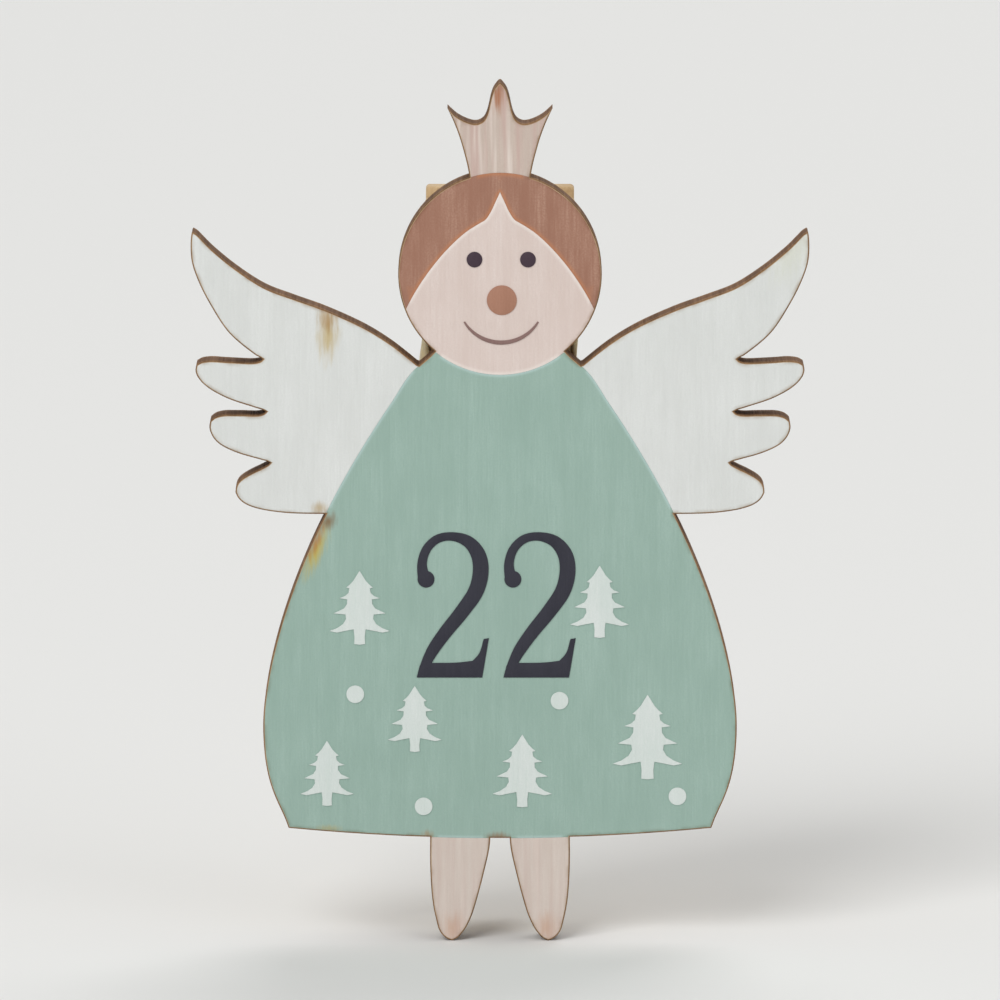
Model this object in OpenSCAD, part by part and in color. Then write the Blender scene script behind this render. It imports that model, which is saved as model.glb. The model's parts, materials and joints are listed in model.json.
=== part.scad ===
// Clothespin doll: a printed plywood angel glued to the front lever of a small wooden spring peg.
// X runs to the viewer's right, Y away from the viewer and Z up. The origin lies between the
// closed jaws, on the axis of the groove that holds a line.

/* [Peg levers] */
// Length of each lever
peg_length = 34.5; // [30:0.5:42]
// Width of each lever
peg_width = 8; // [6.5:0.1:11]
// Thickness of each lever
lever_depth = 4.1; // [3.7:0.1:5.5]
// Height of the coil above the line groove, axis to axis
coil_rise = 8; // [7:0.1:9.5]
// From the coil's axis to the handle ends
handle_reach = 13.8; // [11:0.1:17]
// Slope of each handle's inner face, in degrees
handle_slope = 9; // [7:0.5:10]
// Radius of the groove that holds a line
line_groove_radius = 1.1; // [0.7:0.05:1.4]
// Height of the taper on the outside of each jaw
jaw_taper_height = 6.5; // [3:0.1:8]
// Depth that the taper takes off each jaw tip
jaw_taper_depth = 1.5; // [0.6:0.1:2]
// Height of the lead-in bevel inside each jaw tip
jaw_bevel_height = 1.6; // [0.6:0.1:2.4]
// Depth of the lead-in bevel inside each jaw tip
jaw_bevel_depth = 0.8; // [0.3:0.1:1.2]
// Chamfer on the outside of each handle end
handle_chamfer = 0.5; // [0.1:0.1:0.9]

/* [Spring] */
// Diameter of the spring wire
wire_diameter = 0.8; // [0.6:0.05:1]
// Outer radius of the coil
coil_radius = 1.7; // [1.4:0.05:2]
// Least space left between two turns of the coil
coil_gap = 0.5; // [0.45:0.05:1]
// From the coil's axis down to the crossbars
crossbar_drop = 4.8; // [4:0.1:5.2]
// Inner radius of the bend between an arm and its crossbar
wire_bend_radius = 0.5; // [0.4:0.05:0.8]

/* [Figure board] */
// Thickness of each outer veneer
veneer_thickness = 0.45; // [0.3:0.05:0.8]
// Thickness of the core veneer
core_thickness = 1.1; // [0.6:0.05:2]
// Thickness of the glue under the figure
glue_thickness = 0.15; // [0.12:0.01:0.4]
// Height of the hem's corners above the jaw tips
hem_lift = 0.85; // [0:0.05:3]

/* [Dress] */
// Greatest width of the dress
dress_width = 25.4; // [20:0.1:32]
// Height of the dress, from the hem's corners to the neck notches
dress_height = 24.9; // [20:0.05:32]
// Width of the hem
hem_width = 22.7; // [16:0.1:27]
// How far the middle of the hem hangs below its corners
hem_sag = 0.55; // [0:0.05:1]

/* [Head and crown] */
// Diameter of the head
head_diameter = 10.86; // [9:0.02:13]
// Height of the head's centre above the hem's corners
head_height = 30; // [27:0.05:37]
// Width of the crown at its outer points
crown_width = 5.6; // [4:0.1:8]
// Height of the crown above the top of the head
crown_height = 4.8; // [3:0.1:7]

/* [Wings] */
// Width over both wing tips
wing_span = 32.9; // [27:0.1:42]
// Height of a wing, from its foot to its tip
wing_height = 15.2; // [11:0.1:19]
// Height of a wing's foot above the hem's corners
wing_foot_height = 17.05; // [13:0.05:20]

/* [Legs] */
// Length of the legs below the hem's corners
leg_length = 6.15; // [3:0.05:9]
// Distance over the outsides of both legs
leg_spread = 7.5; // [5:0.1:10]

/* [Print] */
// Thickness of one ink film
ink_thickness = 0.05; // [0.03:0.01:0.1]
// Bare rim that the ink leaves at the edge of the board
bare_rim = 0.08; // [0.03:0.01:0.2]
// Height of the number's digits
digit_height = 7.9; // [5:0.1:11]
// Width of one digit
digit_width = 3.95; // [2.5:0.05:5.5]
// Clear space between the digits
digit_space = 0.7; // [0.3:0.05:1.5]
// Height of a tree of full size
tree_height = 4.6; // [2.5:0.1:5.5]
// Width of a tree of full size
tree_width = 3.7; // [1.8:0.1:4.5]
// Diameter of a dot
dot_diameter = 0.95; // [0.5:0.05:1.5]
// Diameter of an eye
eye_diameter = 0.84; // [0.4:0.02:1.2]
// Distance between the eyes
eye_distance = 2.85; // [1.8:0.05:4]
// Diameter of the nose
nose_diameter = 1.6; // [0.8:0.05:2.2]
// Radius of the smile
smile_radius = 2.3; // [1.6:0.05:3]
// Thickness of the smile's line at its middle
smile_line = 0.22; // [0.12:0.01:0.4]

/* [Hidden] */

// Facets of a round, steps in one curve, and the length of a step along an outline
round_steps = 64;
curve_steps = 16;
outline_step = 0.4;
// How far a cutting solid runs past what it cuts
overrun = 1;
// Running clearance of the wire in its notch, in its grooves and beside the levers
coil_clearance = 0.1;
groove_clearance = 0.06;
arm_clearance = 0.2;
// Half the gap between the handles' inner faces, carried down to the coil's axis
handle_gap = 0.15;
// Height of a crossbar's wire that stands above the lever's outer face
crossbar_proud = 0.07;
// Distance that a crossbar stops short of the lever's far side
crossbar_short = 0.4;
// Margin between the glue and whatever bounds it, and the radius of its corners
glue_margin = 1;
glue_corner = 0.8;

// Heights along the peg
coil_z = coil_rise;
handle_end_z = coil_z + handle_reach;
jaw_tip_z = handle_end_z - peg_length;
crossbar_z = coil_z - crossbar_drop;

// Wire of the spring, measured from the coil's axis
wire_radius = wire_diameter / 2;
coil_mean_radius = coil_radius - wire_radius;
arm_x = peg_width / 2 + arm_clearance + wire_radius;
crossbar_y = lever_depth + crossbar_proud - wire_radius;
bend_mean_radius = wire_bend_radius + wire_radius;

// Depths of the figure, counted towards the viewer
figure_back = lever_depth + glue_thickness;
core_back = figure_back + veneer_thickness;
front_ply_back = core_back + core_thickness;
figure_front = front_ply_back + veneer_thickness;

// Heights on the figure
hem_z = jaw_tip_z + hem_lift;
head_radius = head_diameter / 2;

// Right half of the dress, as shares of half its width and of its height
neck_shares = [0.355, 1];
shoulder_shares = [0.276, 1.037];
side_upper_shares = [[0.945, 0.589], [1, 0.294]];
waist_shares = [1, 0.225];
side_lower_shares = [[1, 0.086], [0.928, 0.056]];

// Right half of the crown, as shares of half its width and of its height
crown_side_shares = [[0.58, -0.05], [0.62, 0.08], [0.68, 0.22], [0.77, 0.4], [0.88, 0.57], [1, 0.72]];
crown_scallop_shares = [
    [1, 0.72], [0.82, 0.625], [0.6, 0.56], [0.44, 0.545], [0.31, 0.585],
    [0.23, 0.69], [0.185, 0.81], [0.12, 0.925], [0.02, 1]
];
crown_seat_share = 0.4;

// Right wing, as shares of half the span and of the wing's height above its foot
wing_top_shares = [
    [0.27, 0.531], [0.35, 0.6], [0.437, 0.659], [0.568, 0.724],
    [0.668, 0.763], [0.763, 0.803], [0.857, 0.869], [0.93, 0.934], [0.996, 1]
];
wing_tip_shares = [
    [1, 0.99], [1, 0.902], [0.979, 0.829], [0.94, 0.744], [0.878, 0.642], [0.79, 0.562], [0.77, 0.55]
];
second_feather_shares = [
    [0.786, 0.539], [0.88, 0.54], [0.95, 0.543], [0.985, 0.53], [0.985, 0.495],
    [0.955, 0.455], [0.887, 0.412], [0.79, 0.376], [0.76, 0.364]
];
third_feather_shares = [
    [0.776, 0.353], [0.851, 0.352], [0.91, 0.349], [0.941, 0.33], [0.94, 0.29],
    [0.915, 0.252], [0.857, 0.219], [0.77, 0.191], [0.747, 0.182]
];
foot_feather_shares = [
    [0.766, 0.167], [0.814, 0.141], [0.85, 0.113], [0.86, 0.077],
    [0.838, 0.043], [0.797, 0.022], [0.7, 0.004], [0.56, 0]
];
wing_root_shares = [[0.2, 0.1], [0.2, 0.5]];

// Right leg, as shares of half the spread and of the leg's length, which counts down
leg_shares = [
    [1, 0.05], [1, 0.35], [0.97, 0.63], [0.92, 0.8], [0.85, 0.93], [0.69, 1],
    [0.54, 0.93], [0.42, 0.8], [0.33, 0.63], [0.24, 0.42], [0.15, 0.17], [0.136, 0.05]
];
leg_root_shares = [[0.136, -0.3], [1, -0.3]];

// Right edge of the face below the hair, as shares of the head's radius
face_shares = [[0, 0.81], [0.05, 0.7], [0.1, 0.597], [0.15, 0.53]];
fringe_shares = [[0.15, 0.53], [0.332, 0.416], [0.512, 0.25], [0.69, 0.037], [0.84, -0.19], [0.95, -0.4]];
face_below_shares = [[1.2, -0.5], [1.2, -1.2], [0, -1.2]];

// Places on the face, as shares of the head's radius
eyes_shares = [0.012, 0.143];
nose_shares = [0.018, -0.259];
smile_shares = [0.012, -0.255];
// Width of the laser's beam, and of a slit that wet ink closes
beam_width = 0.04;
ink_flow = 0.08;
// Half the angle that the smile spans, and its line's thickness at the ends as a share of the middle's
smile_half_angle = 59;
smile_end_share = 0.4;

// Right half of a tree with four tiers of branches, as shares of half its width and of its height
tree_shares = [
    [0, 1], [0.11, 0.93], [0.2, 0.87], [0.31, 0.82], [0.44, 0.775], [0.34, 0.765], [0.37, 0.7],
    [0.48, 0.66], [0.67, 0.63], [0.41, 0.615], [0.42, 0.55], [0.52, 0.49], [0.86, 0.425], [0.47, 0.41],
    [0.45, 0.35], [0.55, 0.28], [0.75, 0.225], [1, 0.185], [0.76, 0.165], [0.46, 0.19],
    [0.2, 0.21], [0.17, 0.11], [0.18, 0.01], [0, 0]
];

// Foot of each tree as shares of half the dress's width and of its height, then its share of full size
tree_place_shares = [
    [-0.592, 0.401, 0.87], [0.42, 0.416, 0.85], [-0.36, 0.167, 0.78],
    [0.623, 0.107, 1], [-0.731, 0.049, 0.77], [0.094, 0.046, 0.86]
];
dot_place_shares = [[-0.611, 0.293], [0.251, 0.279], [-0.323, 0.048], [0.75, 0.07]];

// Pen stroke of the digit two: places as shares of its width and height, then half the pen's width
// as a share of the digit's
two_shares = [
    [0.093, 0.7, 0.08], [0.075, 0.78, 0.065], [0.135, 0.88, 0.06], [0.28, 0.95, 0.058],
    [0.47, 0.968, 0.058], [0.69, 0.935, 0.08], [0.83, 0.85, 0.1], [0.87, 0.74, 0.107],
    [0.81, 0.6, 0.105], [0.62, 0.455, 0.098], [0.39, 0.31, 0.09], [0.21, 0.18, 0.08], [0.1, 0.07, 0.06]
];
two_ball_shares = [0.128, 0.675];
two_ball_share = 0.115;
two_foot_shares = [
    [0, 0], [0.89, 0], [0.98, 0.27], [0.91, 0.265], [0.84, 0.16],
    [0.76, 0.115], [0.6, 0.105], [0.2, 0.1], [0.043, 0.084]
];
// Middle of the number and height of its foot, just above the dots, as shares of half the dress's
// width and of its height
number_place_shares = [-0.013, 0.3294];

// Curve from a to d with handles b and c, without its last point
function bezier(a, b, c, d, steps) = [
    for (i = [0:steps - 1])
        let (t = i / steps, s = 1 - t)
        s * s * s * a + 3 * s * s * t * b + 3 * s * t * t * c + t * t * t * d
];

// Handle beside point p of a curve that comes from before and goes on to next
function handle(before, p, next) =
    let (d = norm(p - before), e = norm(next - p), root = sqrt(d * e))
    d == 0 ? p :
    (d * next - e * before + (2 * d + 3 * root + e) * p) / (3 * (d + root));

// Smooth curve through a list of points, both ends included
function spline(points) =
    let (last = len(points) - 1)
    [
        for (i = [0:last - 1])
            let (
                a = points[i],
                b = points[i + 1],
                steps = max(2, ceil(norm(b - a) / outline_step))
            )
            each bezier(
                a, handle(points[max(i - 1, 0)], a, b),
                handle(points[min(i + 2, last)], b, a), b, steps
            ),
        points[last]
    ];

// List of shares brought to real size, and a list turned to the other side of the middle
function sized(shares, width, height) = [for (p = shares) [p[0] * width, p[1] * height]];
function mirrored(points) = [for (i = [len(points) - 1:-1:0]) [-points[i][0], points[i][1]]];

function unit(v) = v / norm(v);

// The wire as a line of points
// Angle about the coil's axis at which the front arm leaves the coil, and the angle that the
// coil turns through beyond its whole turns
arm_leave_angle = atan2(-crossbar_drop, -crossbar_y)
    + acos(coil_mean_radius / norm([crossbar_y, crossbar_drop]));
coil_part_angle = 180 - 2 * arm_leave_angle;
coil_whole_turns = floor(2 * arm_x / (wire_diameter + coil_gap) - coil_part_angle / 360);
coil_angle = coil_part_angle + 360 * coil_whole_turns;
coil_rings = round(8 * coil_angle / 360);

function coil_point(i) =
    let (angle = arm_leave_angle + coil_angle * i / coil_rings)
    [
        arm_x - 2 * arm_x * i / coil_rings,
        coil_mean_radius * cos(angle),
        coil_z + coil_mean_radius * sin(angle)
    ];

// Crossbar, bend and arm on one side; side is 1 for the front lever and -1 for the rear one
bend_rings = 3;
function arm_points(side) =
    let (
        corner = [side * arm_x, -side * crossbar_y, crossbar_z],
        along = unit(coil_point(side > 0 ? 0 : coil_rings) - corner),
        across = [-side, 0, 0],
        centre = corner + bend_mean_radius * (along + across)
    )
    [
        [-side * (peg_width / 2 - crossbar_short), -side * crossbar_y, crossbar_z],
        for (k = [0:bend_rings])
            centre - bend_mean_radius * (along * cos(90 * k / bend_rings) + across * sin(90 * k / bend_rings))
    ];

front_arm = arm_points(1);
rear_arm = arm_points(-1);
wire_points = concat(
    front_arm,
    [for (i = [0:coil_rings]) coil_point(i)],
    [for (i = [len(rear_arm) - 1:-1:0]) rear_arm[i]]
);

// Direction of the wire at each point
last_point = len(wire_points) - 1;
wire_directions = [
    for (i = [0:last_point])
        unit(wire_points[min(i + 1, last_point)] - wire_points[max(i - 1, 0)])
];

// Normals that follow the wire without twisting about it
function carried(normals, i) =
    i > last_point ? normals :
    let (before = normals[i - 1], direction = wire_directions[i])
    carried(concat(normals, [unit(before - (before * direction) * direction)]), i + 1);
wire_normals = carried([[0, 0, 1]], 1);

// Least space between two parts of the wire that are over half a turn apart
ring_gap = 5;
least_wire_gap = min([
    for (i = [0:last_point - ring_gap])
        for (j = [i + ring_gap:last_point])
            norm(wire_points[i] - wire_points[j])
]) - wire_diameter;
echo(least_wire_gap = least_wire_gap);

// A tube of six sides along the wire
wire_sides = 6;
module wire_tube() {
    rings = [
        for (i = [0:last_point])
            for (k = [0:wire_sides - 1])
                let (
                    a = 360 * k / wire_sides,
                    side_way = cross(wire_directions[i], wire_normals[i])
                )
                wire_points[i] + wire_radius * (cos(a) * wire_normals[i] + sin(a) * side_way)
    ];
    walls = [
        for (i = [0:last_point - 1])
            for (k = [0:wire_sides - 1])
                let (
                    a = i * wire_sides + k,
                    b = i * wire_sides + (k + 1) % wire_sides
                )
                for (face = [[a, a + wire_sides, b], [b, a + wire_sides, b + wire_sides]])
                    face
    ];
    start_cap = [for (k = [1:wire_sides - 2]) [0, k, k + 1]];
    end_first = last_point * wire_sides;
    end_cap = [for (k = [1:wire_sides - 2]) [end_first, end_first + k + 1, end_first + k]];
    polyhedron(points = rings, faces = concat(walls, start_cap, end_cap));
}

// A rod along X for cutting grooves and notches
module cross_rod(radius) {
    rotate([0, 90, 0])
        cylinder(h = peg_width + 2 * overrun, r = radius, center = true, $fn = round_steps);
}

// One lever of the peg, lying on the +Y side of the closing plane
module lever() {
    handle_inside = handle_gap + handle_reach * tan(handle_slope);
    groove_radius = wire_radius + groove_clearance;
    groove_height = 2 * groove_radius;
    difference() {
        rotate([90, 0, 90])
            linear_extrude(height = peg_width, center = true)
            polygon([
                [jaw_bevel_depth, jaw_tip_z],
                [0, jaw_tip_z + jaw_bevel_height],
                [0, coil_z],
                [handle_gap, coil_z],
                [handle_inside, handle_end_z],
                [lever_depth - handle_chamfer, handle_end_z],
                [lever_depth, handle_end_z - handle_chamfer],
                [lever_depth, jaw_tip_z + jaw_taper_height],
                [lever_depth - jaw_taper_depth, jaw_tip_z]
            ]);
        cross_rod(line_groove_radius);
        translate([0, 0, coil_z])
            cross_rod(coil_radius + coil_clearance);
        translate([0, crossbar_y, crossbar_z])
            cross_rod(groove_radius);
        translate([-peg_width / 2 - overrun, crossbar_y, crossbar_z - groove_radius])
            cube([peg_width + 2 * overrun, overrun, groove_height]);
    }
}

module peg_front_lever() {
    color("#b09673")
        mirror([0, 1, 0])
        lever();
}

module peg_rear_lever() {
    color("#ab906c")
        lever();
}

module peg_spring() {
    color("#a9a9a6")
        wire_tube();
}

// A pad of glue with round corners, between two heights
module glue_pad(low_z, high_z) {
    width = peg_width - 2 * glue_margin;
    height = high_z - low_z;
    translate([0, -lever_depth, low_z + height / 2])
        rotate([90, 0, 0])
        linear_extrude(height = glue_thickness) {
            square([width - 2 * glue_corner, height], center = true);
            square([width, height - 2 * glue_corner], center = true);
            for (x = [-1, 1])
                for (z = [-1, 1])
                    translate([x * (width / 2 - glue_corner), z * (height / 2 - glue_corner)])
                        circle(r = glue_corner, $fn = round_steps);
        }
}

module glue_upper() {
    color("#e6dfc8")
        glue_pad(crossbar_z + glue_margin + wire_radius, handle_end_z - glue_margin - handle_chamfer);
}

module glue_lower() {
    color("#e6dfc8")
        glue_pad(jaw_tip_z + jaw_taper_height + glue_corner / 2, crossbar_z - glue_margin - wire_radius);
}

// Flat regions of the figure, seen from the front, with the hem's corners at height zero
module head_region() {
    translate([0, head_height])
        circle(r = head_radius, $fn = 2 * round_steps);
}

module dress_region() {
    half = dress_width / 2;
    hem_corner = [hem_width / 2, 0];
    upper = sized(side_upper_shares, half, dress_height);
    lower = sized(side_lower_shares, half, dress_height);
    neck = [neck_shares[0] * half, neck_shares[1] * dress_height];
    waist = [waist_shares[0] * half, waist_shares[1] * dress_height];
    side = concat(
        sized([shoulder_shares], half, dress_height),
        bezier(neck, upper[0], upper[1], waist, curve_steps),
        bezier(waist, lower[0], lower[1], hem_corner, curve_steps / 2)
    );
    hem_low = [0, -4 * hem_sag / 3];
    hem = bezier(hem_corner, hem_low + hem_corner / 3, hem_low - hem_corner / 3, -hem_corner, curve_steps);
    polygon(concat([[0, head_height]], side, hem, [-hem_corner], mirrored(side)));
}

module wing_region() {
    edge_shares = concat(
        wing_top_shares, wing_tip_shares, second_feather_shares, third_feather_shares, foot_feather_shares
    );
    translate([0, wing_foot_height])
        polygon(concat(
            spline(sized(edge_shares, wing_span / 2, wing_height)),
            sized(wing_root_shares, wing_span / 2, wing_height)
        ));
}

module crown_region() {
    half = crown_width / 2;
    right = concat(
        spline(sized(crown_side_shares, half, crown_height)),
        spline(sized(crown_scallop_shares, half, crown_height))
    );
    seat = [half * crown_seat_share, -crown_height * crown_seat_share];
    translate([0, head_height + head_radius])
        polygon(concat([seat], right, mirrored(right), [[-seat[0], seat[1]]]));
}

module leg_region() {
    edge = spline(sized(leg_shares, leg_spread / 2, -leg_length));
    root = sized(leg_root_shares, leg_spread / 2, -leg_length);
    polygon(concat(edge, root));
}

module both_sides() {
    children();
    mirror([1, 0])
        children();
}

// Joins overlapping regions into one outline, without slits narrower than the given width
module joined(width) {
    offset(delta = -width / 2)
        offset(delta = width / 2)
        children();
}

// The whole outline that the laser cuts in one pass
module figure_region() {
    joined(beam_width) {
        head_region();
        dress_region();
        crown_region();
        both_sides() wing_region();
        both_sides() leg_region();
    }
}

// The part of the outline that the ink covers
module inked_region() {
    offset(delta = -bare_rim)
        figure_region();
}

// A flat region raised to stand on the board's back, counted towards the viewer
module raised(back, thickness) {
    translate([0, -back, hem_z])
        rotate([90, 0, 0])
        linear_extrude(height = thickness)
        children();
}

module figure_back_ply() {
    color("#cdb593")
        raised(figure_back, veneer_thickness)
        figure_region();
}

module figure_core_ply() {
    color("#64463a")
        raised(core_back, core_thickness)
        figure_region();
}

module figure_front_ply() {
    color("#e8e0c8")
        raised(front_ply_back, veneer_thickness)
        figure_region();
}

// One film of ink on the board, and a second one on top of the first
module first_film() {
    raised(figure_front, ink_thickness)
        intersection() {
            inked_region();
            children();
        }
}

module second_film() {
    raised(figure_front + ink_thickness, ink_thickness)
        children();
}

module crown_print() {
    color("#cabbb1")
        first_film()
        difference() {
            crown_region();
            head_region();
        }
}

module face_region() {
    right = concat(
        sized(face_shares, head_radius, head_radius),
        spline(sized(fringe_shares, head_radius, head_radius)),
        sized(face_below_shares, head_radius, head_radius)
    );
    translate([0, head_height])
        polygon(concat(right, mirrored(right)));
}

module hair_print() {
    color("#a27a68")
        first_film()
        difference() {
            head_region();
            face_region();
        }
}

module face_print() {
    color("#d7cac4")
        first_film()
        intersection() {
            head_region();
            face_region();
        }
}

// A place on the face, from shares of the head's radius
module on_face(shares) {
    translate([shares[0] * head_radius, head_height + shares[1] * head_radius])
        children();
}

module eyes_print() {
    color("#3d2f3d")
        second_film()
        on_face(eyes_shares)
        for (side = [-1, 1])
            translate([side * eye_distance / 2, 0])
                circle(d = eye_diameter, $fn = round_steps / 2);
}

module nose_print() {
    color("#a77c68")
        second_film()
        on_face(nose_shares)
        circle(d = nose_diameter, $fn = round_steps / 2);
}

module smile_print() {
    // Places along the line from its left end, -1, to its right end, 1, and half its thickness there
    places = [for (i = [0:curve_steps]) 2 * i / curve_steps - 1];
    angles = [for (t = places) -90 + smile_half_angle * t];
    halves = [for (t = places) smile_line / 2 * (1 - (1 - smile_end_share) * t * t)];
    color("#7d6460")
        second_film()
        on_face(smile_shares)
        polygon(concat(
            [for (i = [0:curve_steps]) (smile_radius + halves[i]) * [cos(angles[i]), sin(angles[i])]],
            [for (i = [curve_steps:-1:0]) (smile_radius - halves[i]) * [cos(angles[i]), sin(angles[i])]]
        ));
}

module dress_print() {
    color("#98b0a6")
        first_film()
        difference() {
            dress_region();
            head_region();
        }
}

module wing_print() {
    first_film()
        difference() {
            wing_region();
            dress_region();
            head_region();
        }
}

module wing_print_left() {
    color("#dadcda")
        mirror([1, 0, 0])
        wing_print();
}

module wing_print_right() {
    color("#dadcda")
        wing_print();
}

module leg_print() {
    color("#cabbb1")
        first_film()
        difference() {
            both_sides() leg_region();
            dress_region();
        }
}

module tree_region() {
    right = sized(tree_shares, tree_width / 2, tree_height);
    polygon(concat(right, mirrored(right)));
}

module tree_print() {
    color("#d4d8d5")
        second_film()
        for (place = tree_place_shares)
            translate([place[0] * dress_width / 2, place[1] * dress_height])
                scale(place[2])
                tree_region();
}

module dot_print() {
    color("#d4d8d5")
        second_film()
        for (place = dot_place_shares)
            translate([place[0] * dress_width / 2, place[1] * dress_height])
                circle(d = dot_diameter, $fn = round_steps / 2);
}

// Left edge of a pen stroke whose points carry half the pen's width; side -1 gives the right edge
function stroke_edge(stroke, side) = [
    for (i = [0:len(stroke) - 1])
        let (
            before = stroke[max(i - 1, 0)],
            after = stroke[min(i + 1, len(stroke) - 1)],
            way = unit([after[0] - before[0], after[1] - before[1]])
        )
        [stroke[i][0], stroke[i][1]] + side * stroke[i][2] * [-way[1], way[0]]
];

module digit_two() {
    stroke = spline([for (p = two_shares) [p[0] * digit_width, p[1] * digit_height, p[2] * digit_width]]);
    right_edge = stroke_edge(stroke, -1);
    joined(ink_flow) {
        polygon(concat(
            stroke_edge(stroke, 1),
            [for (i = [len(right_edge) - 1:-1:0]) right_edge[i]]
        ));
        polygon(sized(two_foot_shares, digit_width, digit_height));
        translate([two_ball_shares[0] * digit_width, two_ball_shares[1] * digit_height])
            circle(r = two_ball_share * digit_width, $fn = round_steps / 2);
    }
}

module number_print() {
    middle = number_place_shares[0] * dress_width / 2;
    color("#383842")
        second_film()
        for (left = [-digit_width - digit_space / 2, digit_space / 2])
            translate([middle + left, number_place_shares[1] * dress_height])
                digit_two();
}

peg_front_lever();
peg_rear_lever();
peg_spring();
glue_upper();
glue_lower();
figure_back_ply();
figure_core_ply();
figure_front_ply();
crown_print();
hair_print();
face_print();
eyes_print();
nose_print();
smile_print();
dress_print();
wing_print_left();
wing_print_right();
leg_print();
tree_print();
dot_print();
number_print();
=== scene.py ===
"""Looks of a printed plywood angel glued to the front of a small wooden spring peg.

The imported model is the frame: its flat outlines give every board and ink film here, and its joint gives the
spring's axis. Sizes in the classes are in millimetres, and become metres when a mesh is made.
"""

from __future__ import annotations

import json
import logging
import math
from collections.abc import Callable
from dataclasses import dataclass, field
from enum import Enum

import bmesh
import bpy
import numpy as np
from bpy.types import ID, Material, Mesh, Node, NodeSocket, NodeTree, Object
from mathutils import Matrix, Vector
from mathutils.geometry import delaunay_2d_cdt
from mathutils.kdtree import KDTree

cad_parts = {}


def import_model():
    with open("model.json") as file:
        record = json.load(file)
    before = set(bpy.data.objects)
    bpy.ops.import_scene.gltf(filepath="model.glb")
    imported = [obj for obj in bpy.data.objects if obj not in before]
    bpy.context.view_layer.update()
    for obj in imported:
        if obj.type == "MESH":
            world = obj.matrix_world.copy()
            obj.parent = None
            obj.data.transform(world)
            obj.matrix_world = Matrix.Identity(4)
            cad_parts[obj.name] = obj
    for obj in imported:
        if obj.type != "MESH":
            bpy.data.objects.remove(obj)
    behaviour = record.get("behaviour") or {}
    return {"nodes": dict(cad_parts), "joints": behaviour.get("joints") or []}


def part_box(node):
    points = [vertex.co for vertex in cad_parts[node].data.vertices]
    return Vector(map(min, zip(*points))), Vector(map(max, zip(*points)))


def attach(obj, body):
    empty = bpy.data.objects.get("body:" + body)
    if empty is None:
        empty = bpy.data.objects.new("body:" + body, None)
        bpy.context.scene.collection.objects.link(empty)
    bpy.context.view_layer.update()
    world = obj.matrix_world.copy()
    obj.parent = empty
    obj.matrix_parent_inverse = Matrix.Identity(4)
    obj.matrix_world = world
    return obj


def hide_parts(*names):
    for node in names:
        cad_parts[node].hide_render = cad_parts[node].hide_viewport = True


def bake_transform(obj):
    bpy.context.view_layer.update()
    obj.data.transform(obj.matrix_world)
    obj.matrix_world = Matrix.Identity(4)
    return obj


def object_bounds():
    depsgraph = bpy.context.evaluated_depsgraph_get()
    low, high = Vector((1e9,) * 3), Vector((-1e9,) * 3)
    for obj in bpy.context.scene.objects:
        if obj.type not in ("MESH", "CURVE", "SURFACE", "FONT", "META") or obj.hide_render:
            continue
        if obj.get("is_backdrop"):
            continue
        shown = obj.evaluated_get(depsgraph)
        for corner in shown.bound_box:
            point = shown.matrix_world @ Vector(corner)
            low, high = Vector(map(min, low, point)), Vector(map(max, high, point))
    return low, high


LOG = logging.getLogger("clothespin_doll")

MM = 0.001
SEED = 22
FRONT_BODY = "front"
REAR_BODY = "rear"

# Attributes that the finishes read: millimetres from the board's cut edge, and from a film's own outline
EDGE_DISTANCE = "edge_mm"
SEAM_DISTANCE = "seam_mm"

# Least divisor, and the millimetres within which levels or stretches of an outline are one, corners of a
# mesh are one, and points of a fill are one
TINY = 1e-9
SAME_LEVEL = 1e-3
SAME_CORNER = 1e-4
SAME_POINT = 1e-6

# An outline keeps a corner where it turns by more than this, and a mesh a crease
SHARP_TURN = math.radians(26)
CREASE = math.radians(40)
# Share of the way to the next corner that a corner's rounding may take
CORNER_SHARE = 0.45
# Share of the room inside an outline that an edge's rounding may take, and the least part of a step
# inwards that is left where the outline turns sharply
ROUNDING_SHARE = 0.6
LEAST_MITRE = 0.6
# A lattice of even triangles: its rows' distance as a share of the pitch, and the least distance of its
# points and of a row's own points from the outline
ROW_SHARE = 0.866
LATTICE_MARGIN = 0.4
ROW_MARGIN = 0.93
# Share of a wall's flat that the levels beside its roundings may take
HOLD_SHARE = 0.25


class Facing(Enum):
    """The flat side of a CAD node that an outline is read from."""

    FRONT = "towards the viewer"
    RIGHT = "towards the viewer's right"

    def flatten(self, co: np.ndarray) -> np.ndarray:
        """Turns points of the frame to across, up and depth away from this side."""
        x, y, z = co.T
        return np.stack([x, z, y] if self is Facing.FRONT else [y, z, -x], 1)

    def place(self, flat: np.ndarray) -> np.ndarray:
        """Turns across, up and depth back to points of the frame."""
        u, v, d = flat.T
        return np.stack([u, d, v] if self is Facing.FRONT else [-d, u, v], 1)


def unit(v: np.ndarray) -> np.ndarray:
    """Vectors, one a row, brought to length one."""
    return v / np.maximum(np.linalg.norm(v, axis=-1, keepdims=True), TINY)


def distance(points: np.ndarray, lines: list[Outline]) -> np.ndarray:
    """Measures from each point to the nearest of some outlines.

    Args:
        points: Flat points, one a row.
        lines: The outlines.

    Returns:
        The distances.
    """
    ends, before, after = (
        np.concatenate([np.roll(line.points, turn, 0) for line in lines]) for turn in (0, 1, -1)
    )
    tree = KDTree(len(ends))
    for i, (x, y) in enumerate(ends):
        tree.insert((x, y, 0.0), i)
    tree.balance()
    near = np.array([tree.find((x, y, 0.0))[1] for x, y in points])
    start = ends[near]
    best = np.full(len(points), np.inf)
    for far in (before, after):
        way = far[near] - start
        t = np.clip(((points - start) * way).sum(1) / np.maximum((way**2).sum(1), TINY), 0, 1)
        best = np.minimum(best, np.linalg.norm(points - start - t[:, None] * way, axis=1))
    return best


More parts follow.
